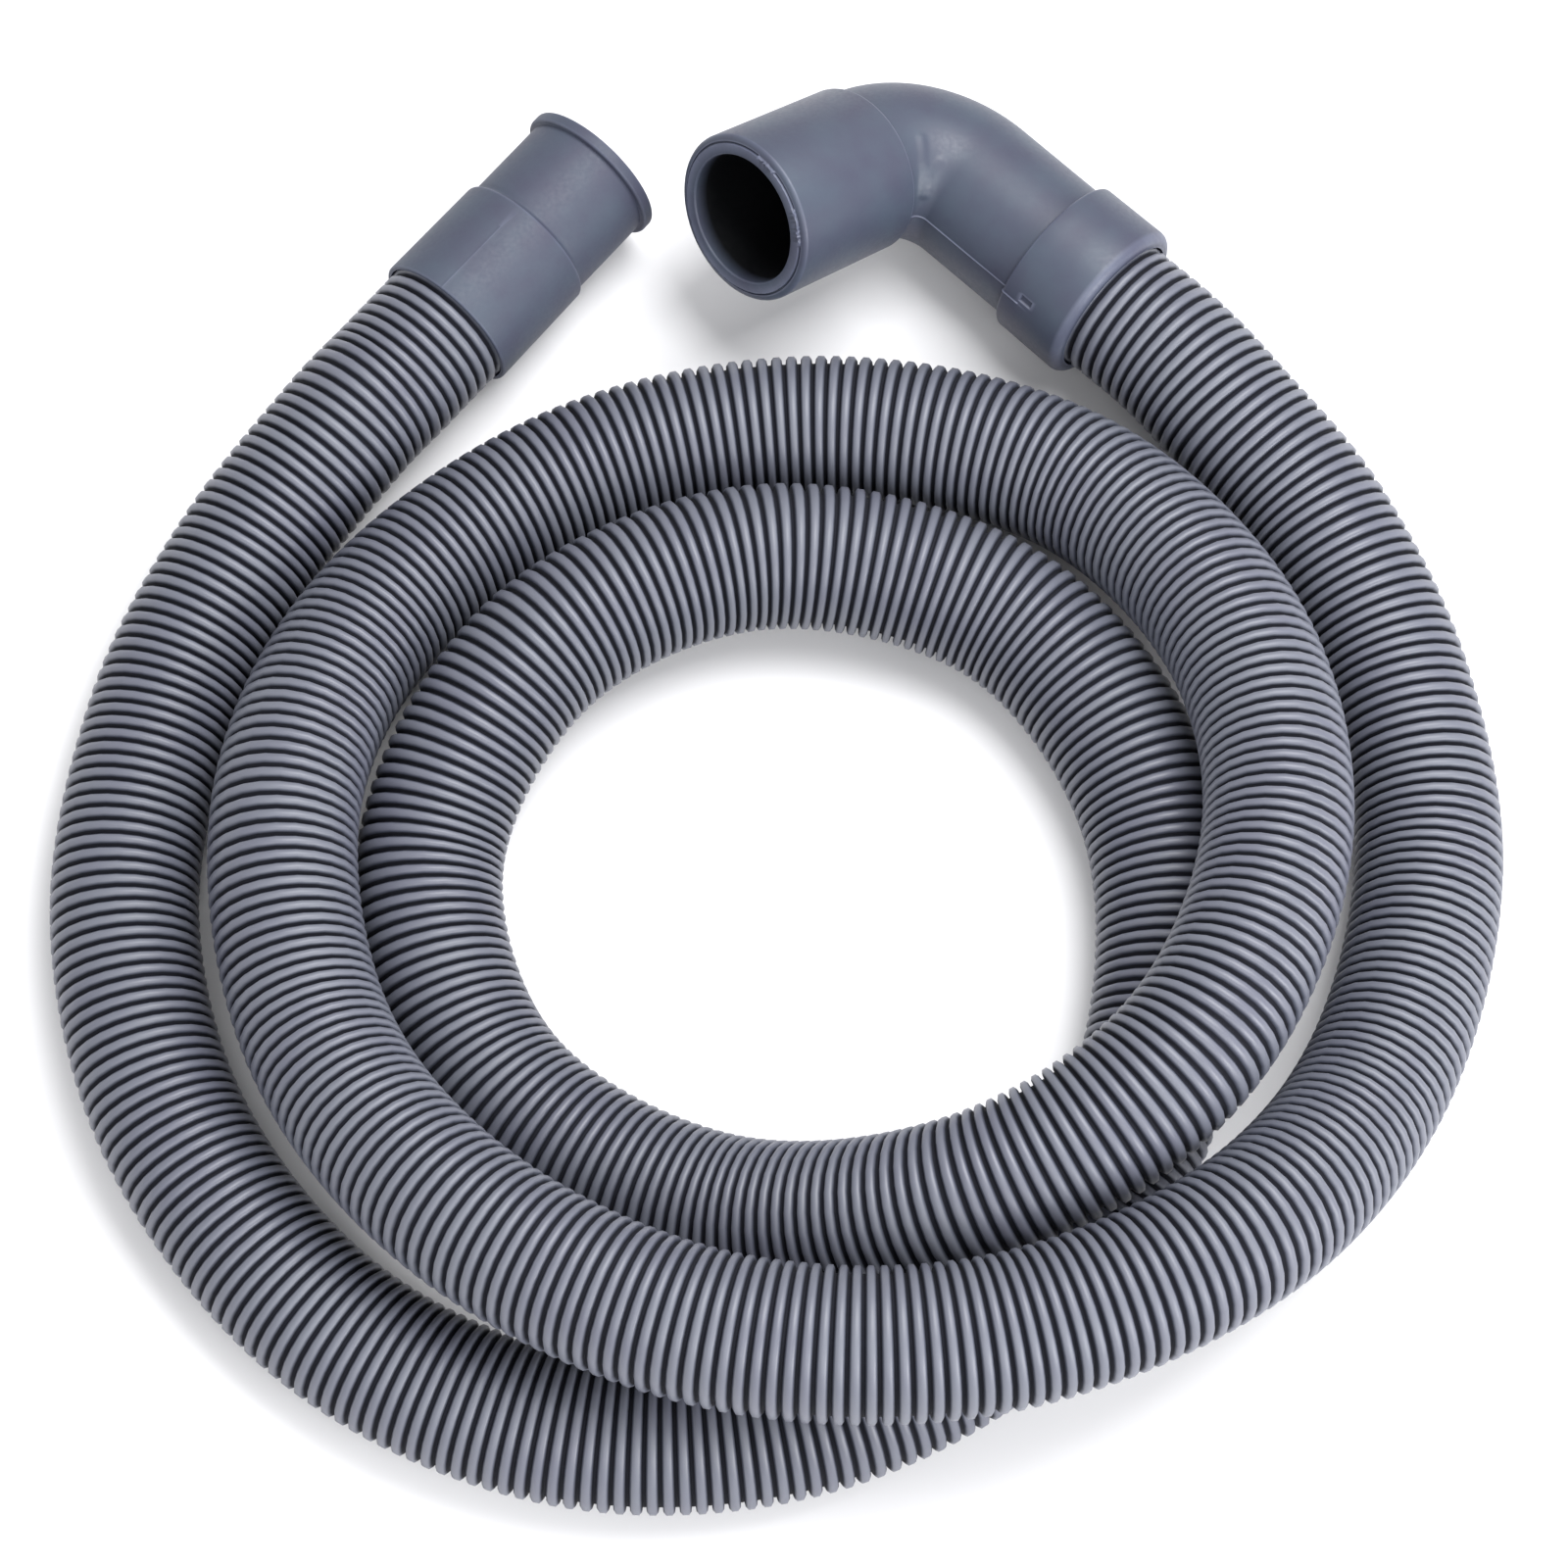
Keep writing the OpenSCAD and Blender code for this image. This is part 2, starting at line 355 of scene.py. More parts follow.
@dataclass
class Collar:
    """The open face of a fitting's collar, which is where the hose leaves it.

    Attributes:
        face: Middle of the collar's open face.
        away: Direction along the fitting, away from the hose.
    """

    face: Vector
    away: Vector

    @classmethod
    def at_joint(cls, joints: Sequence[dict[str, Any]], name: str) -> "Collar":
        """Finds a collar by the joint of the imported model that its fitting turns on."""
        joint = next(j for j in joints if j["name"] == name)
        return cls(Vector(joint["pos_m"]), Vector(joint["axis"]).normalized())

    def place(self, tilt: float = 0.0) -> Matrix:
        """Gives the fitting's own frame, with +X along it.

        Args:
            tilt: Turn about +X.

        Returns:
            The frame as a matrix.
        """
        heading = math.atan2(self.away.y, self.away.x)
        return (
            Matrix.Translation(self.face)
            @ Matrix.Rotation(heading, 4, "Z")
            @ Matrix.Rotation(math.radians(tilt), 4, "X")
        )

    def behind(self, distance: float) -> tuple[float, float, float]:
        """Gives the hose's middle at a distance outside the collar, or inside it if negative."""
        return tuple(self.face - self.away * distance)


@dataclass
class Hose:
    """The ribbed hose: one tube on the coil's route, with its bore and two cut ends.

    Attributes:
        cuff: The straight cuff's collar, where the hose starts.
        elbow: The elbow's collar, where it ends.
        diameter: Outside diameter over the ribs.
        groove_depth: Depth of the groove between two ribs.
        wall: Wall at the bottom of a groove.
        rib_count: Ribs from end to end.
        insert: Length of hose held in each collar.
        straight_out: Straight run outside each collar.
        lie_height: Height of the hose's middle where it lies on the ground.
        sides: Points round the hose.
        bore_step: Length between the bore's rings.
    """

    cuff: Collar
    elbow: Collar
    diameter: float = 33 * MM
    groove_depth: float = 1.8 * MM
    wall: float = 1.2 * MM
    rib_count: int = 645
    insert: float = 18 * MM
    straight_out: float = 18 * MM
    lie_height: float = 13.2 * MM
    sides: int = 24
    bore_step: float = 15 * MM

    # One rib: share of the pitch, and share of the groove's depth under the crown.
    PROFILE = ((0.11, 1.0), (0.15, 0.42), (0.31, 0.02), (0.69, 0.02), (0.85, 0.42), (0.89, 1.0))
    # Steps of the smooth line between two route points, and rows of its bake map.
    SAMPLES_A_SPAN = 64
    BAKE_ROWS = 6

    def __post_init__(self) -> None:
        """Lays the middle line out along the route."""
        self.line, self.headings, self.run = self.smooth_line()

    @property
    def length(self) -> float:
        """Length of the middle line."""
        return float(self.run[-1])

    def smooth_line(self) -> tuple[np.ndarray, np.ndarray, np.ndarray]:
        """Draws the Catmull-Rom curve through the route's points.

        Returns:
            Points of the curve, its direction at each, and the length run up to each.
        """
        ends = (-self.insert, 0.0, self.straight_out)
        points = np.array(
            [self.cuff.behind(out) for out in ends]
            + [(x, y, lift + self.lie_height) for x, y, lift in ROUTE]
            + [self.elbow.behind(out) for out in reversed(ends)]
        )
        padded = np.vstack([2 * points[0] - points[1], points, 2 * points[-1] - points[-2]])
        a, b, c, d = (padded[i:len(padded) - 3 + i, None, :] for i in range(4))
        t = np.linspace(0, 1, self.SAMPLES_A_SPAN, endpoint=False)[None, :, None]
        line = 0.5 * (
            2 * b + (c - a) * t + (2 * a - 5 * b + 4 * c - d) * t**2
            + (3 * b - a - 3 * c + d) * t**3
        )
        line = np.vstack([line.reshape(-1, 3), points[-1]])
        headings = np.gradient(line, axis=0)
        headings /= np.linalg.norm(headings, axis=1)[:, None]
        steps = np.linalg.norm(np.diff(line, axis=0), axis=1)
        return line, headings, np.concatenate([[0.0], np.cumsum(steps)])

    def rings(self, along: np.ndarray, radii: np.ndarray) -> np.ndarray:
        """Places rings of points round the middle line.

        Where the hose lies on the ground its lower half is flattened, so that it rests on it.

        Args:
            along: Length along the hose of each ring.
            radii: Radius of each ring.

        Returns:
            The points, ring by ring.
        """
        def between(values: np.ndarray) -> np.ndarray:
            """Reads values of the middle line at each ring."""
            return np.stack([np.interp(along, self.run, column) for column in values.T], 1)

        middle, heading = between(self.line), between(self.headings)
        heading /= np.linalg.norm(heading, axis=1)[:, None]
        side = np.cross([0.0, 0.0, 1.0], heading)
        side /= np.linalg.norm(side, axis=1)[:, None]
        top = np.cross(heading, side)
        angle = np.arange(self.sides) * 2 * math.pi / self.sides
        round_it = (
            np.cos(angle)[None, :, None] * side[:, None]
            + np.sin(angle)[None, :, None] * top[:, None]
        )
        offset = round_it * radii[:, None, None]
        squash = np.minimum(1.0, middle[:, 2] / (self.diameter / 2))[:, None]
        offset[..., 2] = np.where(offset[..., 2] < 0, offset[..., 2] * squash, offset[..., 2])
        return (middle[:, None] + offset).reshape(-1, 3)

    def quads(self, first: int, rings: int, outward: bool) -> np.ndarray:
        """Joins rings that follow each other with four-sided faces.

        Args:
            first: Index of the first ring's first point.
            rings: How many rings there are.
            outward: Whether the faces look away from the middle line.

        Returns:
            The faces, as rows of four point indices.
        """
        start = first + np.arange(rings - 1)[:, None] * self.sides
        k = np.arange(self.sides)[None, :]
        a, b = start + k, start + (k + 1) % self.sides
        faces = np.stack([a, b, b + self.sides, a + self.sides], -1).reshape(-1, 4)
        return faces if outward else faces[:, ::-1]

    def ends(self, skin: int, bore: int, outward: bool) -> np.ndarray:
        """Closes a cut end between a ring of the skin and one of the bore.

        Args:
            skin: Index of the first point of the skin's ring.
            bore: Index of the first point of the bore's ring.
            outward: Whether the end looks the way that the hose runs.

        Returns:
            The faces, as rows of four point indices.
        """
        k = np.arange(self.sides)
        n = (k + 1) % self.sides
        faces = np.stack([skin + k, bore + k, bore + n, skin + n], -1)
        return faces[:, ::-1] if outward else faces

    def bake_map(self, mesh: Mesh, skin_faces: int, bore_faces: int) -> None:
        """Unrolls the hose into rows, one above another, as the map that it is baked through.

        Args:
            mesh: The hose's mesh, with the skin's faces first, then the bore's and the ends'.
            skin_faces: How many faces the skin has.
            bore_faces: How many faces the bore has.
        """
        rings_a_row = math.ceil(self.rib_count / self.BAKE_ROWS) * len(self.PROFILE)
        # Shares of a row: below the hose's strip in it, and taken by the strip.
        below, taken = 0.002, 0.968
        # The row after the skin's holds the bore and both ends, and the last one is empty.
        row_height = 1 / (self.BAKE_ROWS + 2)
        k = np.tile([0.0, 1.0, 1.0, 0.0], (len(mesh.polygons), 1))
        step = np.tile([0.0, 0.0, 1.0, 1.0], (len(mesh.polygons), 1))
        index = np.arange(len(mesh.polygons))
        ring, corner = index // self.sides, index % self.sides
        row, column = ring // rings_a_row, (ring % rings_a_row) / rings_a_row
        scale = np.full(len(index), 1 / rings_a_row)
        bore = index >= skin_faces
        bore_rings = bore_faces // self.sides
        row[bore] = self.BAKE_ROWS
        column[bore] = (ring[bore] - skin_faces // self.sides) / (bore_rings + 2)
        scale[bore] = 1 / (bore_rings + 2)
        u = column[:, None] + step * scale[:, None]
        v = (row[:, None] + below + (corner[:, None] + k) / self.sides * taken) * row_height
        layer = mesh.uv_layers.new(name=BAKE_MAP)
        layer.uv.foreach_set(
            "vector", np.stack([u.ravel(), v.ravel()], 1).astype(np.float32).ravel()
        )

    def build(self) -> Object:
        """Builds the hose.

        Returns:
            The hose as one closed mesh, whose groove attribute is 1 at the bottom of a groove.
        """
        pitch = self.length / self.rib_count
        share, depth = (np.array(column) for column in zip(*self.PROFILE))
        along = ((np.arange(self.rib_count)[:, None] + share[None, :]) * pitch).ravel()
        along = np.concatenate([[0.0], along, [self.length]])
        depths = np.concatenate([[1.0], np.tile(depth, self.rib_count), [1.0]])
        skin = self.rings(along, self.diameter / 2 - depths * self.groove_depth)
        bore_rings = math.ceil(self.length / self.bore_step) + 1
        bore_radius = self.diameter / 2 - self.groove_depth - self.wall
        bore = self.rings(
            np.linspace(0, self.length, bore_rings), np.full(bore_rings, bore_radius)
        )
        last_skin, last_bore = len(skin) - self.sides, len(skin) + len(bore) - self.sides
        skin_faces = self.quads(0, len(along), True)
        bore_faces = self.quads(len(skin), bore_rings, False)
        faces = np.vstack([
            skin_faces, bore_faces,
            self.ends(0, len(skin), False), self.ends(last_skin, last_bore, True),
        ])
        mesh = bpy.data.meshes.new("hose_skin")
        mesh.from_pydata(np.vstack([skin, bore]).tolist(), [], faces.tolist())
        mesh.polygons.foreach_set(
            "use_smooth", np.arange(len(faces)) < len(skin_faces) + len(bore_faces)
        )
        groove = np.concatenate([np.repeat(depths, self.sides), np.ones(len(bore))])
        mesh.attributes.new(GROOVE, "FLOAT", "POINT").data.foreach_set(
            "value", groove.astype(np.float32)
        )
        self.bake_map(mesh, len(skin_faces), len(bore_faces))
        mesh.update()
        piece = bpy.data.objects.new("hose_skin", mesh)
        bpy.context.scene.collection.objects.link(piece)
        return piece

    def dress(self, piece: Object, on_it: Sequence[Object]) -> None:
        """Gives the hose its finish, ties it to the coil and hides the solid that it replaces.

        Args:
            piece: The hose.
            on_it: The fitting on its far end. Not used.
        """
        piece.data.materials.append(CorrugatedPolypropylene().material())
        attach(piece, "coil")
        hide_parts("hose")
        self.cuff.behind(-self.insert)
        self.length
        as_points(self.line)


class Round(Enum):
    """How a rounded edge sets out on a walk: along the fitting, or square to it."""

    ALONG = "along"
    ACROSS = "across"


class RingWalk:
    """Models a tube by walking one ring of points over its skin and back through its bore."""

    # Angles between two faces, in degrees: even, sharp, and shaded with a crease.
    EVEN, SHARP, CREASE = 12.0, 28.0, 38.0

    def __init__(self, name: str, place: Matrix, radius: float, sides: int) -> None:
        """Adds the first ring, in edit mode.

        Args:
            name: The piece's name.
            place: The frame of the first leg, with +X along it.
            radius: The ring's radius.
            sides: Points round the ring. The first points along the frame's +Y.
        """
        bpy.ops.object.select_all(action="DESELECT")
        turned = place.to_3x3() @ Matrix.Rotation(math.radians(90), 3, "Y")
        bpy.ops.mesh.primitive_circle_add(
            vertices=sides, radius=radius, fill_type="NOTHING",
            location=place.translation, rotation=turned.to_euler(),
        )
        self.piece = bpy.context.object
        self.piece.name = self.piece.data.name = name
        bpy.ops.object.transform_apply(location=True, rotation=True, scale=True)
        bpy.ops.object.mode_set(mode="EDIT")
        bpy.ops.mesh.select_all(action="SELECT")
        self.leg = place.copy()
        self.along = 0.0
        self.radius = radius

    def to(self, along: float, radius: float) -> None:
        """Extrudes the ring to another place along the leg.

        Args:
            along: The place along the leg.
            radius: The ring's new radius.
        """
        step = self.leg.to_3x3() @ Vector((along - self.along, 0, 0))
        bpy.ops.mesh.extrude_region_move(TRANSFORM_OT_translate={"value": step})
        bpy.ops.transform.resize(
            value=(radius / self.radius,) * 3, center_override=self.leg @ Vector((along, 0, 0))
        )
        self.along, self.radius = along, radius

    def round_to(self, along: float, radius: float, start: Round, steps: int = 5) -> None:
        """Walks a quarter round from where the ring is.

        Args:
            along: Where the round ends along the leg.
            radius: The ring's radius at its end.
            start: The way that the round sets out.
            steps: Rings in the round.
        """
        from_along, from_radius = self.along, self.radius
        for k in range(1, steps + 1):
            angle = math.pi / 2 * k / steps
            early, late = math.sin(angle), 1 - math.cos(angle)
            share_along, share_radius = (
                (early, late) if start is Round.ALONG else (late, early)
            )
            self.to(
                from_along + (along - from_along) * share_along,
                from_radius + (radius - from_radius) * share_radius,
            )

    def bend(
        self, angle: float, bend_radius: float, steps: int, leg: Matrix, along: float
    ) -> None:
        """Spins the ring round a bend towards the leg's +Y.

        Args:
            angle: Angle of the bend, negative on the way back.
            bend_radius: Radius of the bend along its middle line.
            steps: Rings in the bend.
            leg: The frame of the next leg.
            along: Where the ring then is along that leg.
        """
        centre = self.leg @ Vector((self.along, bend_radius, 0))
        # In background mode the operator turns against the right-hand rule.
        axis = -(self.leg.to_3x3() @ Vector((0, 0, 1)))
        bpy.ops.mesh.spin(steps=steps, angle=math.radians(angle), center=centre, axis=axis)
        self.leg, self.along = leg, along

    def close(self) -> None:
        """Merges the last ring into the first one and turns all faces outwards."""
        bpy.ops.mesh.select_all(action="SELECT")
        bpy.ops.mesh.remove_doubles(threshold=WELD)
        bpy.ops.mesh.normals_make_consistent(inside=False)

    def select(self, mode: str, wanted: Test) -> None:
        """Selects the points, edges or faces whose points are all wanted.

        Args:
            mode: VERT, EDGE or FACE.
            wanted: Says whether a point is wanted.
        """
        bpy.ops.mesh.select_mode(type=mode)
        bpy.ops.mesh.select_all(action="DESELECT")
        form = bmesh.from_edit_mesh(self.piece.data)
        good = {v for v in form.verts if wanted(v.co)}
        if mode == "VERT":
            found = good
        else:
            parts = form.edges if mode == "EDGE" else form.faces
            found = [p for p in parts if all(v in good for v in p.verts)]
        for part in found:
            part.select_set(True)
        form.select_flush_mode()
        bmesh.update_edit_mesh(self.piece.data)

    def raise_seam(self, on_seam: Test, half_width: float, height: float) -> None:
        """Raises the fine ridge that the two halves of a mould leave where they meet.

        Args:
            on_seam: Says whether a point lies on the seam.
            half_width: Half the ridge's width.
            height: The ridge's height.
        """
        self.select("EDGE", on_seam)
        bpy.ops.mesh.bevel(offset=half_width, segments=2, affect="EDGES")
        self.select("VERT", on_seam)
        bpy.ops.transform.shrink_fatten(value=height)

    def dent(self, on_mark: Test, edge: float, depth: float) -> None:
        """Presses a crater with a sloping edge into the faces whose points are all on a mark."""
        self.select("FACE", on_mark)
        bpy.ops.mesh.inset(thickness=edge, depth=-depth)

    def fold(self, path: Sequence[Vector], height: float, reach: float) -> None:
        """Raises a soft fold of the skin along a path.

        Args:
            path: Points close to the skin, no further apart than the mesh's own.
            height: Height of the fold.
            reach: How far the skin rises on each side of the path.
        """
        form = bmesh.from_edit_mesh(self.piece.data)
        crest = {
            min(form.verts, key=lambda v: (v.co - place).length_squared).co.copy().freeze()
            for place in path
        }
        self.select("VERT", lambda point: any((point - c).length < NEAR for c in crest))
        bpy.ops.transform.shrink_fatten(
            value=height, use_proportional_edit=True, proportional_size=reach,
            proportional_edit_falloff="SMOOTH", use_proportional_connected=True,
        )

    def roughen(self, on_edge: Test, pull: Vector, reach: float, seed: int) -> None:
        """Moves the points of a trimmed or torn edge, as a knife or a tear leaves them.

        Args:
            on_edge: Says whether a point lies on the edge.
            pull: How far, and which way, the edge stands out.
            reach: The most that a point then moves at random.
            seed: Seed of the random moves.
        """
        self.select("VERT", on_edge)
        bpy.ops.transform.translate(value=pull)
        bpy.ops.transform.vertex_random(offset=reach, seed=seed)

    def finish(self, depth: Callable[[Vector], float]) -> Object:
        """Leaves edit mode, shades the piece and notes how deep inside it each point lies.

        Args:
            depth: Gives 0 on the outside, rising to 1 deep in the bore.

        Returns:
            The finished piece.
        """
        bpy.ops.object.mode_set(mode="OBJECT")
        bpy.ops.object.shade_smooth_by_angle(angle=math.radians(self.CREASE))
        mesh = self.piece.data
        values = np.array([depth(v.co) for v in mesh.vertices], np.float32)
        mesh.attributes.new(DEPTH, "FLOAT", "POINT").data.foreach_set("value", values)
        mesh.attributes.new(EDGE, "FLOAT", "POINT").data.foreach_set("value", self.edges(mesh))
        return self.piece

    def edges(self, mesh: Mesh) -> np.ndarray:
        """Finds how sharply the skin turns outwards at each point.

        Args:
            mesh: The piece's mesh.

        Returns:
            0 where the skin is even, and 1 on a sharp edge.
        """
        form = bmesh.new()
        form.from_mesh(mesh)
        turns = np.array([
            max(math.degrees(edge.calc_face_angle_signed(0.0)) for edge in vert.link_edges)
            for vert in form.verts
        ])
        form.free()
        return np.clip((turns - self.EVEN) / (self.SHARP - self.EVEN), 0.0, 1.0).astype(np.float32)


class Fitting:
    """A soft moulding that is pushed over one end of the hose."""

    # The solid that it replaces, the body that it moves with, and its plastic.
    NODE: str
    BODY: str
    FINISH: SoftPvcMoulding

    def dress(self, piece: Object) -> None:
        """Gives the fitting its finish, ties it to its body and hides the solid that it replaces.

        Args:
            piece: The fitting.
        """
        piece.data.materials.append(self.FINISH.material())
        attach(piece, self.BODY)
        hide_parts(self.NODE)


@dataclass
class StraightCuff(Fitting):
    """The straight cuff: a collar over the hose, a slope, a neck and a thin lip.

    Attributes:
        collar: Where the cuff sits.
        collar_radius: Outside radius of the collar at its open face.
        collar_length: Length of the collar.
        collar_draft: How much it narrows towards the neck.
        slope_length: Length of the slope down to the neck.
        bore_radius: Radius of the mouth's bore.
        neck_wall: Wall of the neck.
        neck_length: Length of the neck.
        lip_rise: How far the lip stands out from the neck.
        lip_length: Length of the lip.
        hose_bore_radius: Radius of the collar's bore.
        stop_depth: Depth of the stop for the hose's end.
        sides: Points round the cuff.
    """

    collar: Collar
    collar_radius: float = 17.75 * MM
    collar_length: float = 27.2 * MM
    collar_draft: float = 0.3 * MM
    slope_length: float = 1.5 * MM
    bore_radius: float = 14.25 * MM
    neck_wall: float = 2.15 * MM
    neck_length: float = 20.8 * MM
    lip_rise: float = 1.4 * MM
    lip_length: float = 2.8 * MM
    hose_bore_radius: float = 16.75 * MM
    stop_depth: float = 18.3 * MM
    sides: int = 128

    NODE, BODY, FINISH = "straight_cuff", "cuff", SoftPvcMoulding(ToolSteel.MATT)
    # Shallow grooves at the foot of the slope and before the lip: each ring's place from the
    # neck's or the lip's start, and its depth under the neck's skin.
    FOOT_GROOVE = (
        (-0.55 * MM, 0.12 * MM), (-0.25 * MM, 0.18 * MM), (0.3 * MM, 0.07 * MM), (1.0 * MM, 0.0),
    )
    LIP_GROOVE = (
        (-1.0 * MM, 0.0), (-0.5 * MM, 0.05 * MM), (-0.1 * MM, 0.12 * MM), (0.0, -0.05 * MM),
    )
    # The seam: share of the collar that it runs over, half its width and its height.
    SEAM_SHARE, SEAM_HALF_WIDTH, SEAM_HEIGHT = 0.76, 0.2 * MM, 0.035 * MM
    # Depth inside the mouth at which the painted shade is fully dark.
    DARK_FROM = 10 * MM

    def build(self) -> Object:
        """Models the cuff from its collar's open face, round the lip and back inside.

        Returns:
            The cuff.
        """
        edge, lip_edge, mouth_edge = 0.5 * MM, 0.6 * MM, 0.5 * MM
        # The collar's shoulder: how far before and past its end it goes, and its drop.
        before, past, drop = 0.5 * MM, 0.2 * MM, 0.3 * MM
        neck_start = self.collar_length + self.slope_length
        lip_start = neck_start + self.neck_length
        mouth = lip_start + self.lip_length
        neck = self.bore_radius + self.neck_wall
        lip = neck + self.lip_rise
        tail = self.collar_radius - self.collar_draft
        walk = RingWalk(
            "cuff_moulding", self.collar.place(), self.collar_radius - edge, self.sides
        )
        walk.round_to(edge, self.collar_radius, Round.ACROSS)
        for share in (0.25, 0.5, 0.75):
            walk.to(share * self.collar_length, self.collar_radius - share * self.collar_draft)
        walk.to(self.collar_length - before, tail)
        walk.round_to(self.collar_length + past, tail - drop, Round.ALONG, steps=3)
        for along, deep in self.FOOT_GROOVE:
            walk.to(neck_start + along, neck - deep)
        for share in (0.33, 0.67):
            walk.to(neck_start + share * self.neck_length, neck)
        for along, deep in self.LIP_GROOVE:
            walk.to(lip_start + along, neck - deep)
        walk.to(lip_start, lip - lip_edge)
        walk.round_to(lip_start + lip_edge, lip, Round.ACROSS)
        walk.to(mouth - lip_edge, lip)
        walk.round_to(mouth, lip - lip_edge, Round.ALONG)
        walk.to(mouth, self.bore_radius + mouth_edge)
        walk.round_to(mouth - mouth_edge, self.bore_radius, Round.ACROSS, steps=3)
        walk.to(mouth - self.DARK_FROM, self.bore_radius)
        walk.to(self.stop_depth, self.bore_radius)
        walk.to(self.stop_depth, self.hose_bore_radius)
        walk.to(0.0, self.hose_bore_radius)
        walk.to(0.0, self.collar_radius - edge)
        walk.close()
        back = self.collar.place().inverted()

        def on_seam(point: Vector) -> bool:
            """Says whether a point lies along the top of the collar's skin."""
            local = back @ point
            return (
                abs(local.y) < NEAR and local.z > self.hose_bore_radius + self.SEAM_HALF_WIDTH
                and -NEAR < local.x < self.SEAM_SHARE * self.collar_length
            )

        walk.raise_seam(on_seam, self.SEAM_HALF_WIDTH, self.SEAM_HEIGHT)

        def depth(point: Vector) -> float:
            """Gives 0 for a point on the skin, rising to 1 where the painted shade is fully dark.
            """
            local = back @ point
            inside = math.hypot(local.y, local.z) < self.bore_radius + mouth_edge / 2
            return min(1.0, (mouth - local.x) / self.DARK_FROM) if inside else 0.0

        return walk.finish(depth)


@dataclass
class Elbow(Fitting):
    """The elbow: a collar over the hose, a neck, a bend and a wider socket.

    Attributes:
        collar: Where the elbow sits.
        tilt: How far the socket is tilted up about the neck.
        collar_radius: Outside radius of the collar at its open face.
        collar_length: Length of the collar.
        collar_draft: How much it narrows towards the neck.
        bore_radius: Radius of the neck's bore.
        wall: Wall of the neck and the bend.
        neck_length: Length of the neck between the collar and the bend.
        bend_radius: Radius of the bend along its middle line.
        bend_angle: Angle of the bend.
        socket_start: Where the socket's shoulder stands, past the bend.
        socket_length: Length of the socket.
        socket_bore_radius: Radius of the socket's bore.
        socket_depth: Depth of the socket from its mouth.
        socket_wall: Wall of the socket at its mouth.
        socket_draft: How much thinner that wall is at the bend.
        hose_bore_radius: Radius of the collar's bore.
        stop_depth: Depth of the stop for the hose's end.
        sides: Points round the elbow.
    """

    collar: Collar
    tilt: float = 24.6
    collar_radius: float = 19.9 * MM
    collar_length: float = 18.8 * MM
    collar_draft: float = 0.2 * MM
    bore_radius: float = 14.0 * MM
    wall: float = 3.8 * MM
    neck_length: float = 24.8 * MM
    bend_radius: float = 20.7 * MM
    bend_angle: float = 83.3
    socket_start: float = 1.8 * MM
    socket_length: float = 36.5 * MM
    socket_bore_radius: float = 15.2 * MM
    socket_depth: float = 34.0 * MM
    socket_wall: float = 4.6 * MM
    socket_draft: float = 0.4 * MM
    hose_bore_radius: float = 16.9 * MM
    stop_depth: float = 18.3 * MM
    sides: int = 256

    NODE, BODY, FINISH = "elbow", "elbow", SoftPvcMoulding(ToolSteel.SATIN)
    # Mark of the mould's gate on the collar: its rings and turns, the width of its slope and
    # its depth. Rings a margin away keep its wear to it.
    GATE_RINGS, GATE_TURNS = (10.6 * MM, 14.0 * MM), (2.7, 8.5)
    GATE_EDGE, GATE_DEPTH, GATE_MARGIN = 0.3 * MM, 0.45 * MM, 1.0 * MM
    # Soft folds in the throat: turns along the bend and round the tube at each one's ends,
    # then their height, how far the skin rises beside them, and the points along each.
    THROAT_FOLDS = (((62, 118), (57, 160)), ((34, 134), (46, 160)))
    FOLD_HEIGHT, FOLD_REACH, FOLD_POINTS = 0.24 * MM, 1.7 * MM, 40
    # Where the trimmed rim is torn: first and last turn round the mouth, then a shred's
    # length and how ragged it is.
    TEARS = ((22, 50), (80, 98))
    SHRED_LENGTH, SHRED_RAG = 1.0 * MM, 0.5 * MM
    # How far the trimming knife strays, and the seed of its path.
    TRIM_RAG, TRIM_SEED = 0.12 * MM, 7
    # Rings of the rim's bead: back from the mouth and in from the socket's edge, in beads.
    BEAD_RINGS = ((2.0, 0.3), (2.0, 1.0), (0.0, 1.4))
    # The seam: half its width, its height, and a depth under the skin that it never reaches.
    SEAM_HALF_WIDTH, SEAM_HEIGHT, SEAM_UNDER = 0.24 * MM, 0.24 * MM, 0.3 * MM
    # Rings in the bend, and the depth inside the mouth at which the painted shade is fully dark.
    BEND_STEPS, DARK_FROM = 30, 4 * MM

    @property
    def neck_end(self) -> float:
        """Where the bend starts along the neck."""
        return self.collar_length + self.neck_length

    def socket_frame(self) -> Matrix:
        """Gives the frame at the end of the bend, with +X along the socket."""
        centre = Vector((self.neck_end, self.bend_radius, 0))
        return (
            self.collar.place(self.tilt)
            @ Matrix.Translation(centre)
            @ Matrix.Rotation(math.radians(self.bend_angle), 4, "Z")
            @ Matrix.Translation((0, -self.bend_radius, 0))
        )

    def on_bend(self, along: float, round_it: float, radius: float) -> Vector:
        """Gives a point on the bend's skin.

        Args:
            along: Turn along the bend, in degrees.
            round_it: Turn round the tube, 90 at its upper side and 180 in the throat.
            radius: Radius of the tube.

        Returns:
            The point.
        """
        bend, turn = math.radians(along), math.radians(round_it)
        reach = self.bend_radius + radius * math.cos(turn)
        local = Vector((
            self.neck_end + reach * math.sin(bend),
            self.bend_radius - reach * math.cos(bend),
            radius * math.sin(turn),
        ))
        return self.collar.place(self.tilt) @ local

    def from_middle(self, point: Vector) -> float:
        """Gives a point's distance from the elbow's middle line.

        Args:
            point: A point of the mesh.

        Returns:
            The distance.
        """
        neck = self.collar.place(self.tilt).inverted() @ point
        socket = self.socket_frame().inverted() @ point
        if neck.x <= self.neck_end:
            return math.hypot(neck.y, neck.z)
        if socket.x >= 0:
            return math.hypot(socket.y, socket.z)
        across = math.hypot(neck.x - self.neck_end, neck.y - self.bend_radius)
        return math.hypot(across - self.bend_radius, neck.z)

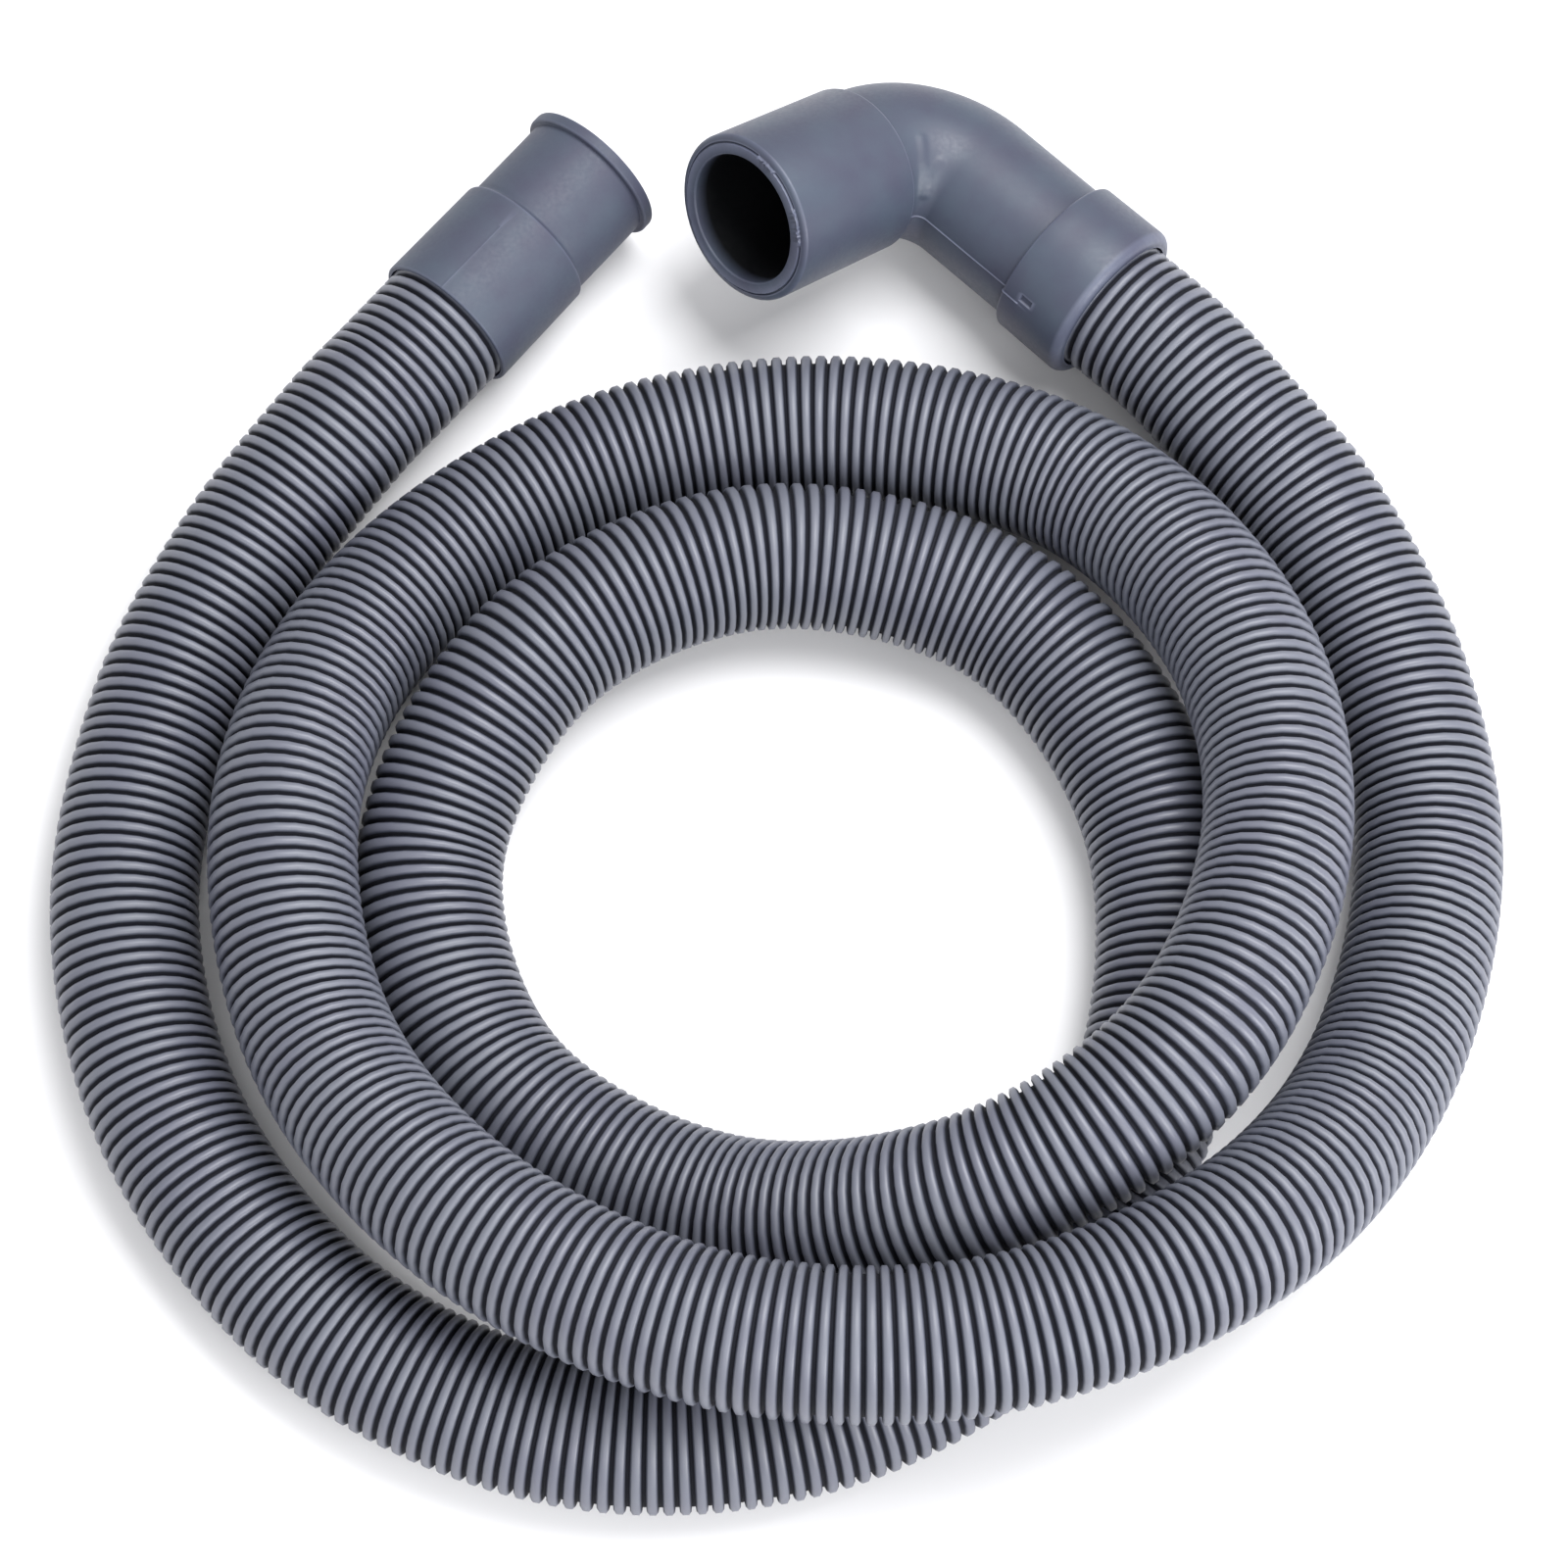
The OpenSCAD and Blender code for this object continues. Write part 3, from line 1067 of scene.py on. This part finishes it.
    def build(self) -> Object:
        """Models the elbow from its collar's open face, round the mouth and back inside.

        Returns:
            The elbow.
        """
        edge, shoulder, socket_edge, mouth_edge = 2.4 * MM, 0.75 * MM, 1.5 * MM, 0.5 * MM
        bead = 0.4 * MM
        place, socket = self.collar.place(self.tilt), self.socket_frame()
        neck = self.bore_radius + self.wall
        tail = self.collar_radius - self.collar_draft
        outer = self.socket_bore_radius + self.socket_wall
        root = outer - self.socket_draft
        mouth = self.socket_start + self.socket_length
        walk = RingWalk("elbow_moulding", place, self.collar_radius - edge, self.sides)
        walk.round_to(edge, self.collar_radius, Round.ACROSS, steps=4)
        first_ring, last_ring, margin = *self.GATE_RINGS, self.GATE_MARGIN
        for along in (first_ring - margin, first_ring, last_ring, last_ring + margin):
            walk.to(along, self.collar_radius - self.collar_draft * along / self.collar_length)
        walk.to(self.collar_length - shoulder, tail)
        walk.round_to(self.collar_length, tail - shoulder, Round.ALONG)
        walk.to(self.collar_length, neck)
        walk.to(self.collar_length + 0.5 * self.neck_length, neck)
        walk.to(self.neck_end, neck)
        walk.bend(self.bend_angle, self.bend_radius, self.BEND_STEPS, socket, 0.0)
        walk.to(self.socket_start, neck)
        walk.to(self.socket_start, root - shoulder)
        walk.round_to(self.socket_start + shoulder, root, Round.ACROSS, steps=4)
        walk.to(self.socket_start + 0.5 * self.socket_length, (root + outer) / 2)
        walk.to(mouth - socket_edge, outer)
        walk.round_to(mouth - bead, outer - socket_edge, Round.ALONG, steps=6)
        for behind, inward in self.BEAD_RINGS:
            walk.to(mouth - behind * bead, outer - socket_edge - inward * bead)
        walk.to(mouth, self.socket_bore_radius + mouth_edge)
        walk.round_to(mouth - mouth_edge, self.socket_bore_radius, Round.ACROSS, steps=6)
        walk.to(mouth - self.DARK_FROM, self.socket_bore_radius)
        walk.to(mouth - self.socket_depth, self.socket_bore_radius)
        walk.to(mouth - self.socket_depth, self.bore_radius)
        walk.to(0.0, self.bore_radius)
        walk.bend(-self.bend_angle, self.bend_radius, self.BEND_STEPS, place, self.neck_end)
        walk.to(self.stop_depth, self.bore_radius)
        walk.to(self.stop_depth, self.hose_bore_radius)
        walk.to(0.0, self.hose_bore_radius)
        walk.to(0.0, self.collar_radius - edge)
        walk.close()
        back, into = place.inverted(), socket.inverted()

        def on_seam(point: Vector) -> bool:
            """Says whether a point lies where the mould's halves meet, up to the socket."""
            local = back @ point
            return (
                abs(local.z) < NEAR and self.from_middle(point) > neck - self.SEAM_UNDER
                and (into @ point).x < self.socket_start + NEAR
                and local.x > last_ring - NEAR
            )

        def on_gate(point: Vector) -> bool:
            """Says whether a point lies on the mark of the mould's gate."""
            local = back @ point
            first_turn, last_turn = self.GATE_TURNS
            return (
                first_ring - NEAR < local.x < last_ring + NEAR
                and first_turn < math.degrees(math.atan2(local.z, local.y)) < last_turn
                and math.hypot(local.y, local.z) > tail - NEAR
            )

        def on_rim(behind: float, first: float, last: float, point: Vector) -> bool:
            """Says whether a point is on the rim, behind the mouth and between two turns."""
            local = into @ point
            return (
                abs(local.x - mouth + behind) < NEAR
                and first <= math.degrees(math.atan2(local.z, local.y)) <= last
                and math.hypot(local.y, local.z) > self.socket_bore_radius + 2 * mouth_edge
            )

        whole_rim = partial(on_rim, 0.0, -180, 180)
        walk.roughen(whole_rim, Vector(), self.TRIM_RAG, self.TRIM_SEED)
        walk.dent(on_gate, self.GATE_EDGE, self.GATE_DEPTH)
        out = socket.to_3x3() @ Vector((self.SHRED_LENGTH, 0, 0))
        for seed, turns in enumerate(self.TEARS):
            walk.roughen(partial(on_rim, 2 * bead, *turns), out, self.SHRED_RAG, seed)
        for start, end in self.THROAT_FOLDS:
            path = [self.on_bend(*at, neck) for at in np.linspace(start, end, self.FOLD_POINTS)]
            walk.fold(path, self.FOLD_HEIGHT, self.FOLD_REACH)
        walk.raise_seam(on_seam, self.SEAM_HALF_WIDTH, self.SEAM_HEIGHT)

        def depth(point: Vector) -> float:
            """Gives 0 for a point on the skin, rising to 1 where the painted shade is fully dark.
            """
            inside = self.from_middle(point) < self.socket_bore_radius + mouth_edge / 2
            deep = (mouth - (into @ point).x) / self.DARK_FROM
            return min(1.0, max(0.0, deep)) if inside else 0.0

        return walk.finish(depth)


@dataclass
class Studio:
    """A pale paper floor under soft light, and the camera.

    Attributes:
        target: The point that the camera looks at.
        elevation: The camera's angle above the ground.
        distance: From the camera to that point.
        lens: Focal length in millimetres on a sensor 36 mm wide.
        floor_size: Side of the floor.
    """

    target: tuple[float, float, float] = (0.001, -0.005, 0.020)
    elevation: float = 68.0
    distance: float = 1.2
    lens: float = 124.7
    floor_size: float = 8.0

    # Soft boxes: name, place, side and power in watts. Then the strength of the sky.
    BOXES = (
        ("top_box", (0.4, 0.3, 1.2), 0.8, 22.0),
        ("side_box", (1.0, -0.9, 0.5), 0.6, 16.0),
        ("front_box", (0.0, -1.1, 1.1), 1.0, 9.0),
    )
    SKY = 0.85

    def add_camera(self) -> None:
        """Adds the camera, looking along +Y and down."""
        camera = bpy.data.cameras.new("camera")
        camera.lens = self.lens
        camera.sensor_width = 36.0
        view = bpy.data.objects.new("camera", camera)
        angle = math.radians(self.elevation)
        back = Vector((0, -math.cos(angle), math.sin(angle)))
        view.location = Vector(self.target) + back * self.distance
        view.rotation_euler = (math.pi / 2 - angle, 0, 0)
        bpy.context.scene.collection.objects.link(view)
        bpy.context.scene.camera = view

    def add_floor(self) -> None:
        """Adds the floor, level with the ground that the coil lies on."""
        bpy.ops.object.select_all(action="DESELECT")
        bpy.ops.mesh.primitive_plane_add(size=self.floor_size)
        floor = bpy.context.object
        floor.name = "paper_floor"
        floor.data.materials.append(MattePaper().material())

    def add_light(self, name: str, place: Sequence[float], size: float, power: float) -> None:
        """Adds a square soft box that faces the coil.

        Args:
            name: The light's name.
            place: Where it hangs.
            size: Its side.
            power: Its power in watts.
        """
        light = bpy.data.lights.new(name, "AREA")
        light.size = size
        light.energy = power
        box = bpy.data.objects.new(name, light)
        box.location = place
        box.rotation_euler = Vector(place).to_track_quat("Z", "Y").to_euler()
        bpy.context.scene.collection.objects.link(box)

    def add_sky(self) -> None:
        """Fills the room with even white light."""
        world = bpy.data.worlds.new("white_room")
        world.use_nodes = True
        tree = world.node_tree
        feed(tree, tree.nodes["Background"], {"Color": (1, 1, 1, 1), "Strength": self.SKY})
        bpy.context.scene.world = world

    def build(self) -> None:
        """Sets the room up."""
        self.add_camera()
        self.add_floor()
        for box in self.BOXES:
            self.add_light(*box)
        self.add_sky()
        bpy.context.scene.view_settings.view_transform = "Standard"


def main() -> None:
    """Builds the pieces in order and dresses them."""
    logging.basicConfig(level=logging.INFO, format="%(name)s: %(message)s")
    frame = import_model()
    Studio().build()
    cuff_collar = Collar.at_joint(frame["joints"], "cuff_swivel")
    elbow_collar = Collar.at_joint(frame["joints"], "elbow_swivel")
    fittings = []
    for fitting in (StraightCuff(cuff_collar), Elbow(elbow_collar)):
        fittings.append(fitting.build())
        fitting.dress(fittings[-1])
    cuff, elbow = fittings
    hose = Hose(cuff_collar, elbow_collar)
    skin = hose.build()
    hose.dress(skin, [elbow])
    LOG.info("hose of %.3f m", hose.length)
    for piece in (skin, cuff, elbow):
        LOG.info("%s has %d faces", piece.name, len(piece.data.polygons))


if __name__ == "__main__":
    main()
